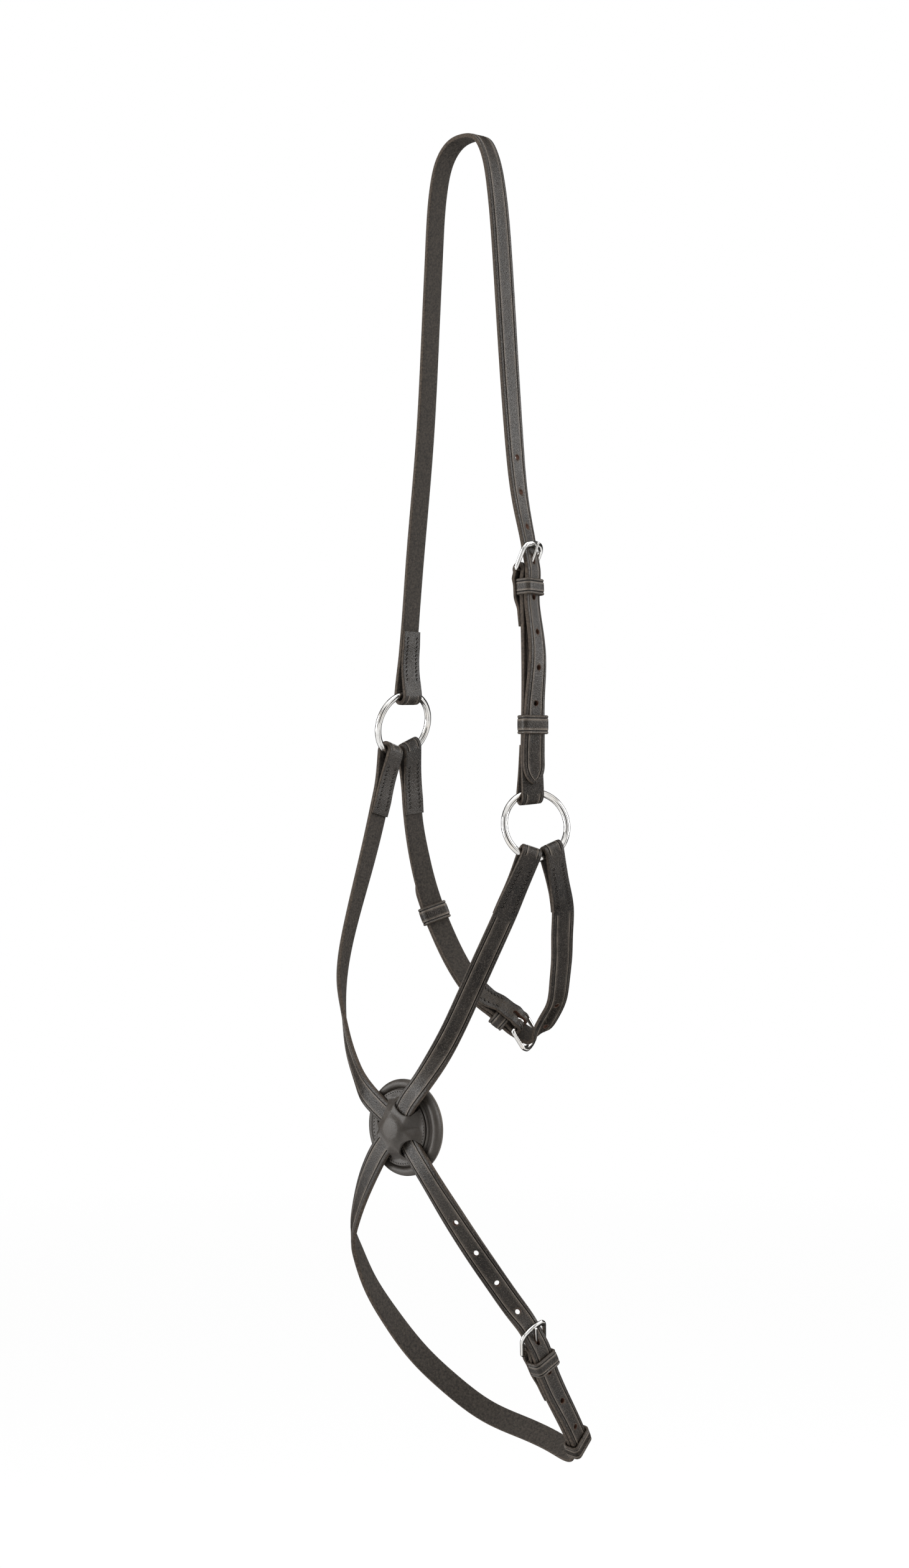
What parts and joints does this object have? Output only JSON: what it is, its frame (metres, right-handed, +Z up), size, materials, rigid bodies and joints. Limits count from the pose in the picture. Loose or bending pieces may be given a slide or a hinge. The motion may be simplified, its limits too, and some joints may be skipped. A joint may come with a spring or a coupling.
{
  "type": "figure eight noseband",
  "caption": "Leather figure eight noseband: headpiece on steel side rings, nose straps crossing under a round pad, jaw straps behind, tongue buckles with keepers.",
  "frame": {"origin": "under side of the top of the headpiece, where it rests on the poll", "axes": "+Z up along the hanging noseband, +X towards the wearer's left side with the cheek and chin buckles, -Y towards the front where the nose pad is"},
  "size_m": [0.1583, 0.1364, 0.8521],
  "materials": {
    "strap_leather": "satin",
    "pad_leather": "matt",
    "lining_leather": "matt",
    "stainless_steel": "polished"
  },
  "bodies": {
    "head": {"headpiece_strap": "strap_leather", "cheek_strap": "strap_leather", "cheek_keeper": "strap_leather"},
    "cheek_runner": {"cheek_runner": "strap_leather"},
    "cheek_frame": {"cheek_buckle_frame": "stainless_steel"},
    "cheek_tongue": {"cheek_buckle_tongue": "stainless_steel"},
    "ring_left": {"ring_left": "stainless_steel"},
    "ring_right": {"ring_right": "stainless_steel"},
    "nose": {"nose_strap_left": "strap_leather", "nose_strap_right": "strap_leather", "pad_lining": "lining_leather", "pad_base": "pad_leather", "pad_cover": "pad_leather", "chin_keeper": "strap_leather"},
    "chin_runner": {"chin_runner": "strap_leather"},
    "chin_frame": {"chin_buckle_frame": "stainless_steel"},
    "chin_tongue": {"chin_buckle_tongue": "stainless_steel"},
    "jaw": {"jaw_strap_left": "strap_leather", "jaw_strap_right": "strap_leather", "jaw_keeper": "strap_leather"},
    "jaw_runner": {"jaw_runner": "strap_leather"},
    "jaw_frame": {"jaw_buckle_frame": "stainless_steel"},
    "jaw_tongue": {"jaw_buckle_tongue": "stainless_steel"}
  },
  "joints": [
    {"name": "ring_left_sway", "type": "hinge", "parent": "head", "child": "ring_left", "pos_m": [-0.05561, -0.00104, -0.35473], "axis": [0.2419, 0.9703, 0], "range_deg": [-4, 4]},
    {"name": "ring_right_sway", "type": "hinge", "parent": "head", "child": "ring_right", "pos_m": [0.05299, 0.00075, -0.41935], "axis": [0.2419, 0.9703, 0], "range_deg": [-5.1, 5.1]},
    {"name": "nose_pivot", "type": "hinge", "parent": "ring_left", "child": "nose", "pos_m": [-0.06724, -0.00622, -0.39429], "axis": [0.2419, 0.9703, 0], "range_deg": [-3.5, 3.5]},
    {"name": "jaw_pivot", "type": "hinge", "parent": "ring_left", "child": "jaw", "pos_m": [-0.06602, 0.01, -0.39299], "axis": [0.2419, 0.9703, 0], "range_deg": [-3.5, 3.5]},
    {"name": "cheek_frame_hinge", "type": "hinge", "parent": "head", "child": "cheek_frame", "pos_m": [0.04788, 0.00102, -0.27902], "axis": [-0.1732, 0.9846, -0.0221], "range_deg": [0, 3]},
    {"name": "cheek_tongue_hinge", "type": "hinge", "parent": "cheek_frame", "child": "cheek_tongue", "pos_m": [0.04788, 0.00102, -0.27902], "axis": [-0.1732, 0.9846, -0.0221], "range_deg": [0, 3]},
    {"name": "cheek_runner_slide", "type": "slide", "parent": "head", "child": "cheek_runner", "axis": [-0.0143, 0.0107, 0.9998], "range_m": [-0.0015, 0.0015]},
    {"name": "chin_frame_hinge", "type": "hinge", "parent": "nose", "child": "chin_frame", "pos_m": [0.06539, -0.00955, -0.76502], "axis": [0.107, 0.8812, 0.4606], "range_deg": [0, 3]},
    {"name": "chin_tongue_hinge", "type": "hinge", "parent": "chin_frame", "child": "chin_tongue", "pos_m": [0.06539, -0.00955, -0.76502], "axis": [0.107, 0.8812, 0.4606], "range_deg": [0, 3]},
    {"name": "chin_runner_slide", "type": "slide", "parent": "nose", "child": "chin_runner", "axis": [0.3262, -0.6343, 0.7009], "range_m": [-0.0015, 0.0015]},
    {"name": "jaw_frame_hinge", "type": "hinge", "parent": "jaw", "child": "jaw_frame", "pos_m": [-0.00492, 0.05106, -0.57055], "axis": [-0.233, 0.8089, 0.5398], "range_deg": [0, 3]},
    {"name": "jaw_tongue_hinge", "type": "hinge", "parent": "jaw_frame", "child": "jaw_tongue", "pos_m": [-0.00492, 0.05106, -0.57055], "axis": [-0.233, 0.8089, 0.5398], "range_deg": [0, 3]},
    {"name": "jaw_runner_slide", "type": "slide", "parent": "jaw", "child": "jaw_runner", "axis": [0.3007, 0.2004, -0.9324], "range_m": [-0.0015, 0.0015]}
  ],
  "couplings": [
    {"joint": "ring_right_sway", "follows": "ring_left_sway", "ratio": 1.2561},
    {"joint": "nose_pivot", "follows": "ring_left_sway", "ratio": -0.8475},
    {"joint": "jaw_pivot", "follows": "ring_left_sway", "ratio": -0.8147}
  ]
}
